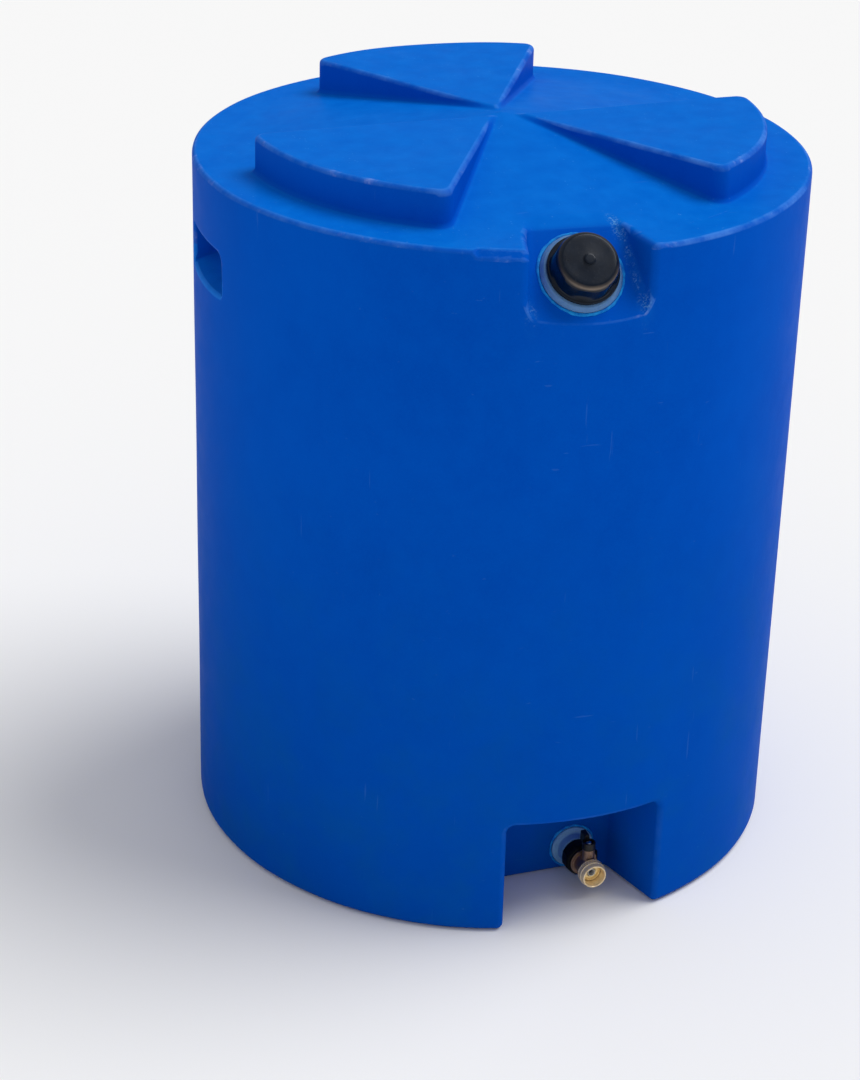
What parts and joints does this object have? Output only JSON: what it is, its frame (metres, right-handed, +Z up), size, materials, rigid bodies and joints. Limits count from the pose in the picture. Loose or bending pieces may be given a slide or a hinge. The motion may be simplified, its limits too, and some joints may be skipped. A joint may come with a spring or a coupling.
{
  "type": "water storage tank",
  "caption": "Closed upright cylindrical blue plastic water tank with sector-shaped stacking pads, a screw-capped filler in a front pocket and a hose valve in a foot recess.",
  "frame": {"origin": "centre of the flat base, on the floor", "axes": "+Z up the tank's axis, the front with the valve recess towards -Y, +X to the right seen from the front"},
  "size_m": [0.68, 0.6861, 0.8415],
  "materials": {
    "shell": "satin rotomoulded polyethylene, finely mottled, edges scuffed paler",
    "natural_pe": "natural translucent white polyethylene, satin",
    "rubber": "matte",
    "cap_black": "glossy black moulding with fine scratches",
    "adapter_black": "satin black",
    "handle_black": "satin black",
    "bronze": "satin cast bronze, slightly grained",
    "ptfe": "smooth white",
    "plated": "polished",
    "brass": "machined",
    "pale_brass": "bright machined, knurled",
    "zinc": "zinc plated",
    "grey_plastic": "smooth grey"
  },
  "bodies": {
    "tank": {"tank_body": "shell", "fill_neck": "natural_pe", "outlet_fitting": "natural_pe", "outlet_gasket": "rubber", "outlet_adapter": "adapter_black", "adapter_washer": "rubber", "valve_body": "bronze", "valve_seat_inner": "ptfe", "valve_seat_outer": "ptfe", "stem_o_ring": "rubber", "valve_tailpiece": "brass", "bore_liner": "grey_plastic"},
    "cap_seal": {"fill_cap_gasket": "rubber"},
    "cap": {"fill_cap": "cap_black"},
    "spindle": {"valve_ball": "plated", "valve_stem": "brass", "valve_handle": "handle_black", "handle_screw": "zinc"},
    "coupling": {"swivel_nut": "pale_brass"}
  },
  "joints": [
    {"name": "cap_lift", "type": "slide", "parent": "tank", "child": "cap_seal", "axis": [-0.0639, -0.7165, 0.6947], "range_m": [0, 0.0125]},
    {"name": "cap_turn", "type": "hinge", "parent": "cap_seal", "child": "cap", "pos_m": [-0.02778, -0.29996, 0.76146], "axis": [-0.0639, -0.7165, 0.6947], "range_deg": [0, 900]},
    {"name": "valve_turn", "type": "hinge", "parent": "tank", "child": "spindle", "pos_m": [0.0296, -0.2766, 0.0306], "axis": [0, 0, 1], "range_deg": [0, 90]},
    {"name": "coupling_spin", "type": "hinge", "parent": "tank", "child": "coupling", "pos_m": [0.0296, -0.2917, 0.0306], "axis": [0, -1, 0], "continuous": true}
  ],
  "couplings": [
    {"joint": "cap_lift", "follows": "cap_turn", "m_per_rad": 0.00079577}
  ]
}
